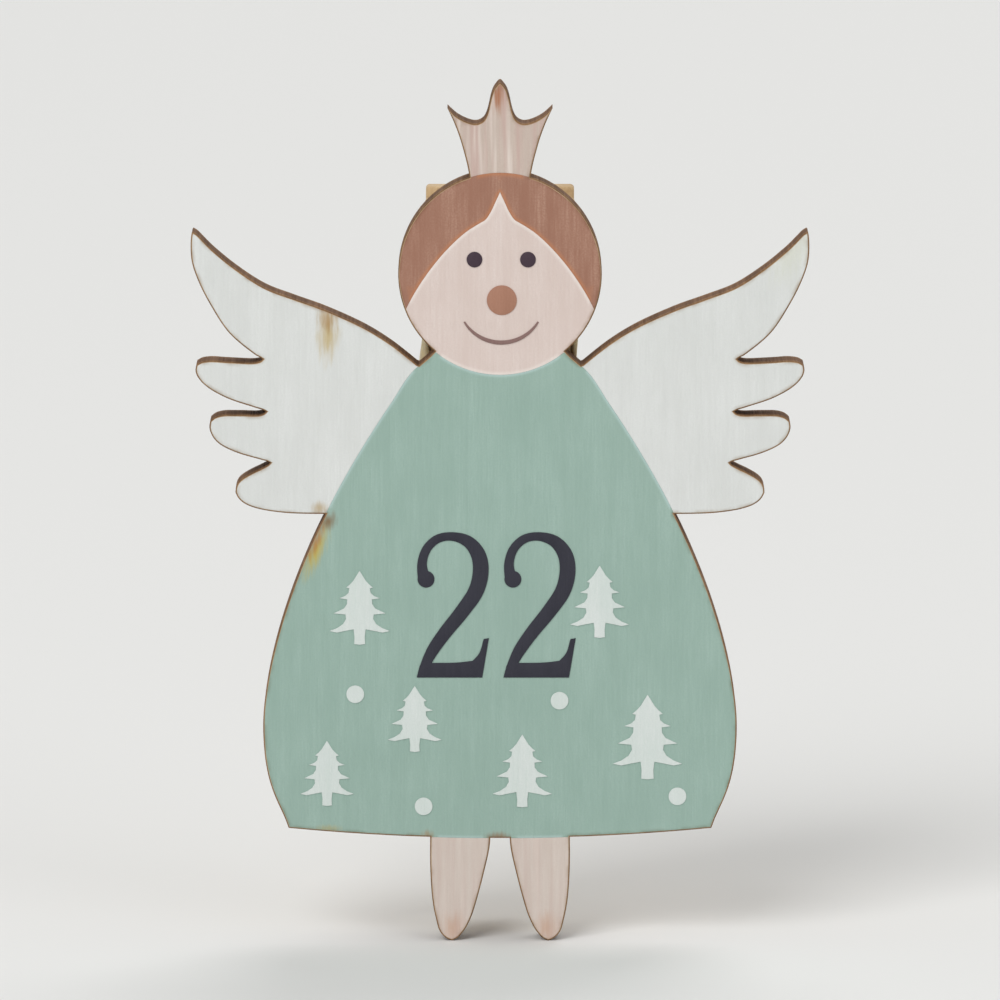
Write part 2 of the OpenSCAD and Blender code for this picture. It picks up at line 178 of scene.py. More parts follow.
@dataclass
class Outline:
    """A closed flat outline in millimetres, with its inside on its left."""

    points: np.ndarray

    def turns(self) -> np.ndarray:
        """Works out how the outline turns.

        Returns:
            The angle that it turns through at each point, positive to the left.
        """
        after = np.roll(self.points, -1, 0) - self.points
        before = np.roll(after, 1, 0)
        cross = before[:, 0] * after[:, 1] - before[:, 1] * after[:, 0]
        return np.arctan2(cross, (before * after).sum(1))

    def smoothed(self, step: float) -> Outline:
        """Draws the outline finer, as a smooth curve that keeps its sharp corners.

        Args:
            step: Longest step along the new outline.

        Returns:
            The finer outline.
        """
        line = self.points
        corner = np.abs(self.turns()) > SHARP_TURN
        side = np.roll(line, -1, 0) - line
        length = np.linalg.norm(side, axis=1)
        way = unit(side)
        tangent = unit(way * np.roll(length, 1)[:, None] + np.roll(way, 1, 0) * length[:, None])
        made = []
        for i, a in enumerate(line):
            j = (i + 1) % len(line)
            leave = length[i] * (way[i] if corner[i] else tangent[i])
            arrive = length[i] * (way[i] if corner[j] else tangent[j])
            steps = max(1, math.ceil(length[i] / step))
            for t in np.arange(steps) / steps:
                s = 1 - t
                ends = s * s * (1 + 2 * t) * a + t * t * (3 - 2 * t) * line[j]
                made.append(ends + s * s * t * leave - t * t * s * arrive)
        # A curve's bulge is kept from passing the outline's own box, which is the CAD's
        return Outline(np.clip(np.array(made), line.min(0), line.max(0)))

    def rounded(self, radius: float, steps: int = 5) -> Outline:
        """Rounds the sharp corners, also where short sides meet in one.

        Args:
            radius: Radius of the rounding, less where corners lie close together.
            steps: Steps in one corner.

        Returns:
            The rounded outline.
        """
        line, angle = self.points, np.abs(self.turns())
        closed = np.vstack([line, line[:1]])
        place = np.append(0, np.cumsum(np.linalg.norm(np.diff(closed, axis=0), axis=1)))
        total = place[-1]
        corners = np.flatnonzero(angle > SHARP_TURN)
        gap = np.diff(place[corners], append=place[corners[0]] + total)
        room = CORNER_SHARE * np.minimum(gap, np.roll(gap, 1))
        reach = np.minimum(radius * np.tan(angle[corners] / 2), room)
        kept = np.ones(len(line), bool)
        rows = []
        for corner, r in zip(corners, reach):
            off = (place[:-1] - place[corner] + total / 2) % total - total / 2
            kept &= np.abs(off) > r + SAME_LEVEL
            ends = np.mod(place[corner] + np.array([-r, r]), total)
            start, end = np.column_stack([np.interp(ends, place, closed[:, k]) for k in (0, 1)])
            for t in np.linspace(0, 1, steps + 1):
                point = (1 - t) ** 2 * start + 2 * t * (1 - t) * line[corner] + t * t * end
                rows.append((place[corner] + (2 * t - 1) * r, point))
        rows += [(place[i], line[i]) for i in np.flatnonzero(kept)]
        return Outline(np.array([point for _, point in sorted(rows, key=lambda row: row[0])]))

    def drawn_in(self, insets: list[float]) -> list[np.ndarray]:
        """Moves the outline inwards, less where it would meet itself.

        Args:
            insets: How far, for each copy.

        Returns:
            The points of each copy.
        """
        way = unit(np.roll(self.points, -1, 0) - self.points)
        left = np.stack([-way[:, 1], way[:, 0]], 1)
        inward = unit(left + np.roll(left, 1, 0))
        mitre = 1 / np.maximum((inward * left).sum(1), LEAST_MITRE)
        # The largest circle that fits inside and touches the outline at each point
        off = self.points[None] - self.points[:, None]
        along = (off * inward[:, None]).sum(2)
        circles = (off**2).sum(2) / (2 * np.maximum(along, SAME_POINT))
        room = ROUNDING_SHARE * np.where(along > SAME_POINT, circles, np.inf).min(1)
        return [self.points + np.minimum(inset * mitre, room)[:, None] * inward for inset in insets]

    def holds(self, points: np.ndarray) -> np.ndarray:
        """Finds which points lie inside.

        Args:
            points: Flat points, one a row.

        Returns:
            Whether each lies inside.
        """
        x, y = points.T
        found = np.zeros(len(points), bool)
        for a, b in zip(self.points, np.roll(self.points, -1, 0)):
            spans = (a[1] > y) != (b[1] > y)
            if spans.any():
                found ^= spans & (x < (b[0] - a[0]) * (y - a[1]) / (b[1] - a[1]) + a[0])
        return found

    def filling(self, pitch: float, depths: tuple[float, ...]) -> np.ndarray:
        """Makes points inside the outline: rows that follow its edge, and a lattice between them.

        Args:
            pitch: Distance between lattice points.
            depths: Distances of the rows from the edge.

        Returns:
            The points, none of them on the outline.
        """
        low, high = self.points.min(0), self.points.max(0)
        across = np.arange(low[0] + pitch / 2, high[0], pitch)
        up = np.arange(low[1] + pitch / 2, high[1], pitch * ROW_SHARE)
        lattice = np.array([(x + pitch / 2 * (k % 2), y) for k, y in enumerate(up) for x in across])
        rows = [(lattice, depths[-1] + LATTICE_MARGIN * pitch)]
        rows += [(row, ROW_MARGIN * depth) for row, depth in zip(self.drawn_in(list(depths)), depths)]
        made = []
        for row, least in rows:
            row = row[self.holds(row)]
            made.append(row[distance(row, [self]) > least])
        return np.concatenate(made)

    def triangles(self, extra: np.ndarray) -> np.ndarray:
        """Fills the outline with triangles that also meet some points inside it.

        Args:
            extra: The points inside.

        Returns:
            The triangles as rows of three numbers, which count the outline's points and then the others.
        """
        n = len(self.points)
        edges = [(i, (i + 1) % n) for i in range(n)]
        points = [Vector(p) for p in (*self.points, *extra)]
        only_inside = 1
        _, _, faces, origin, _, _ = delaunay_2d_cdt(points, edges, [], only_inside, SAME_POINT)
        return np.array([[origin[i][0] for i in face] for face in faces])


def outlines(node: Object, facing: Facing) -> list[Outline]:
    """Reads the outlines of the flat side of a CAD node.

    Args:
        node: The CAD node's object, which is left as it is.
        facing: The side to read.

    Returns:
        Each closed outline, from the leftmost to the rightmost.
    """
    shape = bmesh.new()
    shape.from_mesh(node.data)
    bmesh.ops.remove_doubles(shape, verts=shape.verts, dist=SAME_CORNER * MM)
    shape.verts.ensure_lookup_table()
    flat = facing.flatten(np.array([v.co for v in shape.verts])) / MM
    near = flat[:, 2] < flat[:, 2].min() + SAME_LEVEL
    ways = {
        (loop.vert.index, loop.link_loop_next.vert.index)
        for face in shape.faces
        if all(near[v.index] for v in face.verts)
        for loop in face.loops
    }
    shape.free()
    follow = {a: b for a, b in ways if (b, a) not in ways}
    found = []
    while follow:
        start = min(follow)
        line = [start]
        step = follow.pop(start)
        while step != start:
            line.append(step)
            step = follow.pop(step)
        found.append(Outline(flat[line, :2]))
    return sorted(found, key=lambda line: tuple(line.points.min(0)))


def edge_rings(
    start: float, end: float, front: float, back: float, steps: int = 3
) -> list[tuple[float, float]]:
    """Works out the levels of a wall whose two edges are rounded.

    Args:
        start: Depth of the front.
        end: Depth of the back.
        front: Radius of the front edge.
        back: Radius of the back edge, or zero.
        steps: Steps in one rounding.

    Returns:
        The depth of each level and how far it is drawn in, from front to back.
    """
    angles = [math.pi / 2 * k / steps for k in range(steps + 1)]
    rings = [(start + front * (1 - math.cos(a)), front * (1 - math.sin(a))) for a in angles]
    if not back:
        return [*rings, (end, 0.0)]
    # A level close to each rounding keeps the wall between them flat to the eye
    hold = HOLD_SHARE * (end - start - front - back)
    rings += [(start + front + min(hold, front), 0.0), (end - back - min(hold, back), 0.0)]
    return rings + [(end - back * (1 - math.cos(a)), back * (1 - math.sin(a))) for a in reversed(angles)]


def mesh_object(name: str, co: np.ndarray, faces: list, finishes: list[Material]) -> Object:
    """Makes an object at the origin from points in metres.

    Args:
        name: The piece's name.
        co: Its points in the frame.
        faces: Its faces, as rows of point numbers.
        finishes: Its materials.

    Returns:
        The object, shaded smooth with its sharp edges kept.
    """
    mesh = bpy.data.meshes.new(name)
    mesh.from_pydata([tuple(p) for p in co], [], [tuple(int(i) for i in f) for f in faces])
    for finish in finishes:
        mesh.materials.append(finish)
    return shaded(name, mesh)


def shaded(name: str, mesh: Mesh) -> Object:
    """Shades a mesh smooth between its creases and puts it in the scene.

    Args:
        name: The piece's name.
        mesh: Its mesh.

    Returns:
        The object.
    """
    mesh.name = name
    mesh.polygons.foreach_set("use_smooth", [True] * len(mesh.polygons))
    mesh.set_sharp_from_angle(angle=CREASE)
    mesh.update()
    obj = bpy.data.objects.new(name, mesh)
    bpy.context.scene.collection.objects.link(obj)
    return obj


@dataclass
class Slab:
    """A flat piece cut from a sheet, with a face, shaped edges and a closed back."""

    name: str
    lines: list[Outline]
    rings: list[tuple[float, float]]
    facing: Facing = Facing.FRONT
    pitch: float = 0.0
    back_pitch: float = 0.0
    depths: tuple[float, ...] = ()
    edge_lines: list[Outline] = field(default_factory=list)

    def build(self, face: Material, wall: Material) -> Object:
        """Makes the slab's mesh.

        Args:
            face: Finish of the front and the back.
            wall: Finish of the cut edge.

        Returns:
            The object, at the origin.
        """
        points, faces, slots = [], [], []
        count = 0
        for line in self.lines:
            n = len(line.points)
            loops = line.drawn_in([inset for _, inset in self.rings])
            depths = [depth for depth, _ in self.rings]
            points += [np.column_stack([loop, np.full(n, depth)]) for loop, depth in zip(loops, depths)]
            first, count = count, count + n * len(loops)
            around = [(i, (i + 1) % n) for i in range(n)]
            for a in range(first, count - n, n):
                faces += [(a + i, a + n + i, a + n + j, a + j) for i, j in around]
            slots += [1] * (n * (len(loops) - 1))
            for end, pitch in ((0, self.pitch), (-1, self.back_pitch)):
                rim = Outline(loops[end])
                extra = rim.filling(pitch, self.depths) if pitch else np.zeros((0, 2))
                points.append(np.column_stack([extra, np.full(len(extra), depths[end])]))
                start = first if end == 0 else first + n * (len(loops) - 1)
                index = np.append(start + np.arange(n), count + np.arange(len(extra)))
                count += len(extra)
                rows = rim.triangles(extra)
                faces += index[rows if end == 0 else rows[:, ::-1]].tolist()
                slots += [0] * len(rows)
        flat = np.concatenate(points)
        obj = mesh_object(self.name, self.facing.place(flat) * MM, faces, [face, wall])
        obj.data.polygons.foreach_set("material_index", slots)
        if self.edge_lines:
            for name, lines in ((EDGE_DISTANCE, self.edge_lines), (SEAM_DISTANCE, self.lines)):
                values = obj.data.attributes.new(name, "FLOAT", "POINT")
                values.data.foreach_set("value", distance(flat[:, :2], lines).astype(np.float32))
        return obj


def linear(code: str) -> tuple[float, float, float, float]:
    """Turns an sRGB hex colour to the linear colour that Blender works in.

    Args:
        code: The colour, such as "#9EB9AD".

    Returns:
        Red, green, blue and an alpha of one.
    """
    shares = [int(code[i : i + 2], 16) / 255 for i in (1, 3, 5)]
    return (*[c / 12.92 if c <= 0.04045 else ((c + 0.055) / 1.055) ** 2.4 for c in shares], 1.0)


def add_node(tree: NodeTree, kind: str, inputs: dict | None = None, **settings: object) -> Node:
    """Adds a node with its settings, values and links.

    Args:
        tree: The tree that gets the node.
        kind: The node's type.
        inputs: For a socket's name or number, its value, or the socket that it is linked from.
        settings: The node's own properties.

    Returns:
        The node.
    """
    node = tree.nodes.new(kind)
    for name, value in settings.items():
        setattr(node, name, value)
    for key, value in (inputs or {}).items():
        if isinstance(value, NodeSocket):
            tree.links.new(value, node.inputs[key])
        else:
            node.inputs[key].default_value = value
    return node


@dataclass
class Growth:
    """A Geometry Nodes tree that grows a piece from points, and what it needs to run."""

    name: str
    sockets: dict[str, str]
    shape: Callable[[NodeTree, dict], NodeSocket]
    tree: NodeTree | None = None

    def build(self) -> NodeTree:
        """Makes the tree once: its named inputs, its shape, then Realize Instances and Set Material.

        Returns:
            The tree.
        """
        if self.tree:
            return self.tree
        tree = bpy.data.node_groups.new(self.name, "GeometryNodeTree")
        geometry = "NodeSocketGeometry"
        for socket, kind in {"Geometry": geometry, **self.sockets, "Finish": "NodeSocketMaterial"}.items():
            tree.interface.new_socket(socket, in_out="INPUT", socket_type=kind)
        tree.interface.new_socket("Result", in_out="OUTPUT", socket_type=geometry)
        given = add_node(tree, "NodeGroupInput").outputs
        real = add_node(tree, "GeometryNodeRealizeInstances", {"Geometry": self.shape(tree, given)})
        parts = {"Geometry": real.outputs[0], "Material": given["Finish"]}
        done = add_node(tree, "GeometryNodeSetMaterial", parts)
        add_node(tree, "NodeGroupOutput", {"Result": done.outputs[0]})
        self.tree = tree
        return tree

    def grow(self, name: str, seeds: Object, values: dict[str, object]) -> Object:
        """Runs the tree and keeps the result as a plain mesh.

        Args:
            name: The new piece's name.
            seeds: The object of points that it grows from, which is removed.
            values: The tree's inputs by name.

        Returns:
            The piece.
        """
        modifier = seeds.modifiers.new(self.name, "NODES")
        modifier.node_group = self.build()
        for item in self.build().interface.items_tree:
            if item.in_out == "INPUT" and item.name in values:
                modifier[item.identifier] = values[item.name]
        graph = bpy.context.evaluated_depsgraph_get()
        mesh = bpy.data.meshes.new_from_object(seeds.evaluated_get(graph), depsgraph=graph)
        bpy.data.objects.remove(seeds)
        return shaded(name, mesh)


def seed_points(co: np.ndarray, attribute: str, values: np.ndarray, joined: bool) -> Object:
    """Makes points that carry one value each, for a Geometry Nodes tree to start from.

    Args:
        co: The points in the frame, in millimetres.
        attribute: The value's name.
        values: The value of each point.
        joined: Whether an edge joins each point to the next.

    Returns:
        The object.
    """
    mesh = bpy.data.meshes.new("seeds")
    edges = [(i, i + 1) for i in range(len(co) - 1)] if joined else []
    mesh.from_pydata([tuple(p * MM) for p in co], edges, [])
    carried = mesh.attributes.new(attribute, "FLOAT", "POINT")
    carried.data.foreach_set("value", np.asarray(values, np.float32))
    obj = bpy.data.objects.new("seeds", mesh)
    bpy.context.scene.collection.objects.link(obj)
    return obj


def bead(tree: NodeTree, given: dict) -> NodeSocket:
    """Shapes a round bead along a line of points, as thick at each as its swell says.

    Args:
        tree: The tree that gets the nodes.
        given: The tree's inputs by name.

    Returns:
        The bead, which is the spring's wire or a run of set glue.
    """
    line = add_node(tree, "GeometryNodeMeshToCurve", {"Mesh": given["Geometry"]})
    size = {"Resolution": given["Facets"], "Radius": given["Radius"]}
    ring = add_node(tree, "GeometryNodeCurvePrimitiveCircle", size)
    swell = add_node(tree, "GeometryNodeInputNamedAttribute", {"Name": "swell"}, data_type="FLOAT")
    parts = {"Curve": line.outputs[0], "Profile Curve": ring.outputs[0], "Scale": swell.outputs[0]}
    return add_node(tree, "GeometryNodeCurveToMesh", {**parts, "Fill Caps": True}).outputs[0]


def stamps(tree: NodeTree, given: dict) -> NodeSocket:
    """Repeats one printed motif at points, each at the share of full size that its point carries.

    Args:
        tree: The tree that gets the nodes.
        given: The tree's inputs by name.

    Returns:
        The motifs.
    """
    motif = add_node(tree, "GeometryNodeObjectInfo", {"Object": given["Motif"]})
    share = add_node(tree, "GeometryNodeInputNamedAttribute", {"Name": "share"}, data_type="FLOAT")
    pair = {0: share.outputs[0], 1: given["Full size"]}
    size = add_node(tree, "ShaderNodeMath", pair, operation="MULTIPLY").outputs[0]
    flat = add_node(tree, "ShaderNodeCombineXYZ", {"X": size, "Y": 1.0, "Z": size})
    shape = motif.outputs["Geometry"]
    parts = {"Points": given["Geometry"], "Instance": shape, "Scale": flat.outputs[0]}
    return add_node(tree, "GeometryNodeInstanceOnPoints", parts).outputs[0]


BEAD = Growth("round_bead", {"Radius": "NodeSocketFloat", "Facets": "NodeSocketInt"}, bead)
STAMPS = Growth("stamped_motif", {"Motif": "NodeSocketObject", "Full size": "NodeSocketFloat"}, stamps)


@dataclass(frozen=True)
class Mask:
    """Where something shows: a value cut softly between two levels."""

    low: float
    high: float

    def value(self, tree: NodeTree) -> NodeSocket:
        """The value that is cut."""
        raise NotImplementedError

    def add(self, tree: NodeTree, least: float = 0.0, most: float = 1.0) -> NodeSocket:
        """Adds the mask to a material.

        Args:
            tree: The material's tree.
            least: What the mask gives at its low level.
            most: What it gives at its high level.

        Returns:
            The mask's socket.
        """
        levels = {"From Min": self.low, "From Max": self.high, "To Min": least, "To Max": most}
        cut = {"Value": self.value(tree), **levels}
        return add_node(tree, "ShaderNodeMapRange", cut, interpolation_type="SMOOTHSTEP").outputs[0]


@dataclass(frozen=True)
class Grain(Mask):
    """Noise whose grains have a real size along X, Y and Z, zero where it runs straight through."""

    size: tuple[float, float, float]
    shift: float = 0.0
    detail: float = 2.0

    def value(self, tree: NodeTree) -> NodeSocket:
        """Adds the noise.

        Args:
            tree: The material's tree.

        Returns:
            The noise's socket, which gives values about 0.5.
        """
        fitting = {
            "Vector": add_node(tree, "ShaderNodeTexCoord").outputs["Object"],
            "Scale": tuple(1 / (MM * s) if s else 0.0 for s in self.size),
            "Location": (self.shift, 0.0, self.shift),
        }
        scaled = add_node(tree, "ShaderNodeMapping", fitting)
        noise = {"Vector": scaled.outputs[0], "Scale": 1.0, "Detail": self.detail}
        return add_node(tree, "ShaderNodeTexNoise", noise).outputs["Fac"]


@dataclass(frozen=True)
class Near(Mask):
    """How near a point is to an outline, from the millimetres that the mesh carries."""

    attribute: str = EDGE_DISTANCE

    def value(self, tree: NodeTree) -> NodeSocket:
        """The distance in millimetres."""
        kind = {"attribute_name": self.attribute, "attribute_type": "GEOMETRY"}
        return add_node(tree, "ShaderNodeAttribute", **kind).outputs["Fac"]


@dataclass(frozen=True)
class Spot(Mask):
    """A soft oval drawn out along the fibres, which may lean: positive leans its top to the left."""

    low: float = field(default=1.1, kw_only=True)
    high: float = field(default=0.0, kw_only=True)
    x: float
    z: float
    width: float
    height: float
    lean: float = 0.0
    ragged: float = 0.22

    def value(self, tree: NodeTree) -> NodeSocket:
        """Measures from the oval's middle.

        Args:
            tree: The material's tree.

        Returns:
            The distance, one at the rim, made uneven along the fibres.
        """
        centre = (self.x * MM, 0.0, self.z * MM)
        place = {0: add_node(tree, "ShaderNodeTexCoord").outputs["Object"], 1: centre}
        moved = add_node(tree, "ShaderNodeVectorMath", place, operation="SUBTRACT")
        turn = {"Vector": moved.outputs[0], "Angle": math.radians(self.lean)}
        turned = add_node(tree, "ShaderNodeVectorRotate", turn, rotation_type="Y_AXIS")
        shares = {0: turned.outputs[0], 1: (2 / (self.width * MM), 0.0, 2 / (self.height * MM))}
        scaled = add_node(tree, "ShaderNodeVectorMath", shares, operation="MULTIPLY")
        reach = add_node(tree, "ShaderNodeVectorMath", {0: scaled.outputs[0]}, operation="LENGTH")
        uneven = Grain(0.2, 0.8, (0.16, 0.0, 1.1), self.x).add(tree, -self.ragged, self.ragged)
        pair = {0: reach.outputs["Value"], 1: uneven}
        return add_node(tree, "ShaderNodeMath", pair, operation="ADD").outputs[0]


@dataclass(frozen=True)
class Rings(Mask):
    """Growth rings round a heart beside the lever, wavering slowly along it."""

    heart: tuple[float, float]
    spacing: float = 2.4
    waver: float = 2.2
    slowness: float = 0.035

    def value(self, tree: NodeTree) -> NodeSocket:
        """Adds the rings.

        Args:
            tree: The material's tree.

        Returns:
            The socket of the rings, each of which rises slowly and falls at once.
        """
        fitting = {
            "Vector": add_node(tree, "ShaderNodeTexCoord").outputs["Object"],
            "Location": (self.heart[0] * MM, self.heart[1] * MM, 0.0),
            "Scale": (1.0, 1.0, self.slowness),
        }
        heart = add_node(tree, "ShaderNodeMapping", fitting)
        # The wave node turns through 20 radians in each unit of its scaled distance
        scale = math.tau / (20 * self.spacing * MM)
        waves = {"Vector": heart.outputs[0], "Scale": scale, "Distortion": self.waver, "Detail": 3.0}
        kind = {"wave_type": "RINGS", "rings_direction": "Z", "wave_profile": "SAW"}
        return add_node(tree, "ShaderNodeTexWave", waves, **kind).outputs["Fac"]


@dataclass(frozen=True)
class Both:
    """Two masks that have to meet."""

    first: Mask
    second: Mask

    def add(self, tree: NodeTree, least: float = 0.0, most: float = 1.0) -> NodeSocket:
        """Adds the product of the first mask, which gives least to most, and the second."""
        pair = {0: self.first.add(tree, least, most), 1: self.second.add(tree)}
        return add_node(tree, "ShaderNodeMath", pair, operation="MULTIPLY").outputs[0]


class Blend(Enum):
    """How a colour meets those below, by the mix node's names."""

    COVER = "MIX"
    DARKEN = "MULTIPLY"


@dataclass(frozen=True)
class Layer:
    """A colour laid over those below, as strongly as its share and its mask say."""

    colour: str
    share: float
    where: Mask | Both
    blend: Blend = Blend.COVER

    def lay(self, tree: NodeTree, below: NodeSocket | tuple) -> NodeSocket:
        """Lays the colour over those below.

        Args:
            tree: The material's tree.
            below: The colour below, or its socket.

        Returns:
            The mixed colour's socket.
        """
        parts = {0: self.where.add(tree, 0.0, self.share), 6: below, 7: linear(self.colour)}
        kind = {"data_type": "RGBA", "blend_type": self.blend.value}
        return add_node(tree, "ShaderNodeMix", parts, **kind).outputs[2]


# Sliced basswood: bands from ring to ring, fibres that run up the doll, and short fine pores. The pores are
# really 0.05 mm wide and are drawn twice as wide, to show.
BAND = Grain(0.3, 0.7, (0.75, 0.0, 9.0), 3.7, 3.0)
FIBRE = Grain(0.25, 0.75, (0.13, 0.0, 2.6), 1.3, 3.0)
PORE = Grain(0.6, 0.76, (0.1, 0.0, 0.75), 7.9, 1.0)
# The laser's pulses leave a mark about every 0.12 mm along the cut, drawn at 0.16 mm to show
PULSE = Grain(0.3, 0.7, (0.16, 0.0, 0.16), 9.1, 1.0)
# Clouds in the zinc, and the milkiness and waves of glue as it set
ZINC_CLOUD = Grain(0.3, 0.7, (0.7, 0.7, 0.7), 1.0, 3.0)
GLUE_WAVE = Grain(0.3, 0.7, (0.8, 0.8, 1.4), 2.0, 3.0)


@dataclass(frozen=True)
class Finish:
    """A surface: its colour and the layers over it, its roughness, and the relief of its grain."""

    name: str
    colour: str
    rough: tuple[float, float] = (0.6, 0.75)
    specular: float = 0.3
    depth: float = 0.04

    def layers(self) -> list[Layer]:
        """The colours laid over the first one."""
        return []

    def relief(self) -> list[tuple[Grain, float]]:
        """The grains that stand up from the surface, and how strongly."""
        return []

    def sockets(self) -> dict[str, object]:
        """Other values of the shader that are the same all over."""
        return {}

    def build(self) -> Material:
        """Makes the material.

        Returns:
            The material, whose pattern keeps to the piece.
        """
        finish = bpy.data.materials.new(self.name)
        finish.use_nodes = True
        tree = finish.node_tree
        tree.nodes.clear()
        colour = linear(self.colour)
        for layer in self.layers():
            colour = layer.lay(tree, colour)
        values = {"Base Color": colour, "Roughness": self.rough[1], "Specular IOR Level": self.specular}
        for grain, strength in self.relief():
            bump = {"Height": grain.add(tree), "Strength": strength, "Distance": self.depth * MM}
            if "Normal" in values:
                bump["Normal"] = values["Normal"]
            else:
                values["Roughness"] = grain.add(tree, *self.rough)
            values["Normal"] = add_node(tree, "ShaderNodeBump", bump).outputs[0]
        shader = add_node(tree, "ShaderNodeBsdfPrincipled", {**values, **self.sockets()})
        add_node(tree, "ShaderNodeOutputMaterial", {"Surface": shader.outputs[0]})
        return finish


@dataclass(frozen=True)
class PrintedInk(Finish):
    """UV ink printed flat on sanded veneer.

    It is matt and even, and so thin that the wood's bands and fibres show through as faint upright streaks.
    """

    shade: str = "#808080"
    grain: float = 1.0
    seam: str = ""
    seam_width: float = 0.2
    scorch: float = 0.5
    stains: tuple[Layer, ...] = ()
    specular: float = 0.2

    def layers(self) -> list[Layer]:
        """Lists cloudy and streaky tones, a thin line at a seam, the laser's browning, then the stains.

        Returns:
            The layers, from the lowest.
        """
        # The printer's dots are 0.05 mm apart and are drawn at twice that, to show
        dots = Grain(0.35, 0.65, (0.1, 0.0, 0.1), 6.6, 1.0)
        made = [
            Layer(self.shade, 0.5 * self.grain, Grain(0.3, 0.7, (1.9, 0.0, 3.2), 5.1, 4.0)),
            Layer(self.shade, 0.5 * self.grain, BAND),
            Layer(self.shade, 0.45 * self.grain, FIBRE),
            Layer(self.shade, 0.5 * self.grain, PORE),
            Layer(self.shade, 0.3 * self.grain, dots),
        ]
        if self.seam:
            line = Both(Near(self.seam_width, 0.02, SEAM_DISTANCE), Near(0.3, 0.5))
            made.append(Layer(self.seam, 0.6, line))
        if self.scorch:
            patchy = Grain(0.35, 0.7, (0.9, 0.0, 0.9), 2.2)
            made.append(Layer("#B39672", self.scorch, Both(Near(0.3, 0.04), patchy), Blend.DARKEN))
        return [*made, *self.stains]

    def relief(self) -> list[tuple[Grain, float]]:
        """Fibres and pores, filled by the ink."""
        return [(FIBRE, 0.22), (PORE, -0.12)]


@dataclass(frozen=True)
class GrainPrintInk(PrintedInk):
    """The same ink printed as pale wood: soft upright streaks of darker pink and lighter beige."""

    streak: str = "#BBA198"
    light: str = "#D8CCC3"
    contrast: float = 1.0

    def layers(self) -> list[Layer]:
        """Lists the ink's own layers, and the printed streaks over them.

        Returns:
            The layers, from the lowest.
        """
        return [
            *super().layers(),
            Layer(self.streak, 0.8 * self.contrast, Grain(0.43, 0.64, (0.62, 0.0, 11.0), 4.4)),
            Layer(self.light, 0.8 * self.contrast, Grain(0.5, 0.7, (0.5, 0.0, 9.0), 12.6)),
            Layer(self.streak, 0.5 * self.contrast, Grain(0.5, 0.75, (0.2, 0.0, 5.0), 8.4)),
        ]


@dataclass(frozen=True)
class BareVeneer(Finish):
    """Sanded basswood veneer, bare: cream, fine upright grain, browned by smoke beside the laser's cut."""

    name: str = "bare_sanded_veneer"
    colour: str = "#DDCCA9"
    rough: tuple[float, float] = (0.66, 0.8)
    depth: float = 0.05

    def layers(self) -> list[Layer]:
        """Lists bands, fibres and pores, then the smoke.

        Returns:
            The layers, from the lowest.
        """
        drift = Grain(0.3, 0.7, (2.6, 0.0, 1.8), 6.3)
        return [
            Layer("#C4A87C", 0.55, BAND),
            Layer("#C4A87C", 0.4, FIBRE),
            Layer("#9A7A54", 0.4, PORE),
            Layer("#E8DCC2", 0.4, Grain(0.4, 0.75, (3.0, 0.0, 12.0), 9.3)),
            Layer("#A87C4C", 0.5, Both(Near(1.5, 0.0), drift), Blend.DARKEN),
            Layer("#8A5C34", 0.5, Near(0.2, 0.0), Blend.DARKEN),
        ]

    def relief(self) -> list[tuple[Grain, float]]:
        """Raised fibres and sunk pores."""
        return [(FIBRE, 0.45), (PORE, -0.4)]


@dataclass(frozen=True)
class LaserCutEdge(Finish):
    """Plywood edge charred by the laser: brown to near black, with fine marks through the board."""

    char: str = "#3A261B"
    rough: tuple[float, float] = (0.76, 0.88)
    specular: float = 0.18
    depth: float = 0.05

    def layers(self) -> list[Layer]:
        """Lists darker patches, the pulses' marks and paler fibres.

        Returns:
            The layers, from the lowest.
        """
        return [
            Layer(self.char, 0.75, Grain(0.3, 0.72, (1.4, 0.0, 1.4), 2.4)),
            Layer(self.char, 0.5, PULSE),
            Layer("#8F6A4A", 0.35, Grain(0.35, 0.7, (0.5, 0.09, 0.5), 5.7)),
        ]

    def relief(self) -> list[tuple[Grain, float]]:
        """The pulses' marks."""
        return [(PULSE, 0.5)]


@dataclass(frozen=True)
class SawnBirch(Finish):
    """Sawn and tumbled birch, unvarnished: golden, with brown lines along it and rings at its ends."""

    colour: str = "#C8AA80"
    rough: tuple[float, float] = (0.6, 0.76)
    depth: float = 0.06
    shift: float = 0.0

    def grains(self) -> tuple[Grain, Grain, Grain]:
        """Lists the grains that colour and relief share.

        Returns:
            Fibres, pores, and the shallow marks that the saw left across the lever, 0.35 mm apart.
        """
        return (
            Grain(0.28, 0.75, (0.12, 0.12, 3.4), self.shift, 3.0),
            Grain(0.6, 0.74, (0.1, 0.1, 1.1), self.shift + 4.0, 1.0),
            Grain(0.3, 0.7, (6.0, 6.0, 0.35), 1.0, 1.0),
        )

    def layers(self) -> list[Layer]:
        """Lists rings, fibres, paler patches, pores, and a little grime from the tumbling drum.

        Returns:
            The layers, from the lowest.
        """
        fibre, pore, _ = self.grains()
        return [
            Layer("#A68559", 0.5, Rings(0.25, 0.98, (6.0 + self.shift, 11.0))),
            Layer("#A68559", 0.35, fibre),
            Layer("#DCC6A2", 0.4, Grain(0.3, 0.72, (2.5, 2.5, 7.0), self.shift + 2.0)),
            Layer("#7C5C36", 0.4, pore),
            Layer("#B79A78", 0.3, Grain(0.45, 0.8, (1.6, 1.6, 1.6), self.shift + 7.0, 4.0)),
        ]

    def relief(self) -> list[tuple[Grain, float]]:
        """Fibres, sunk pores and saw marks."""
        fibre, pore, saw = self.grains()
        return [(fibre, 0.45), (pore, -0.4), (saw, 0.25)]


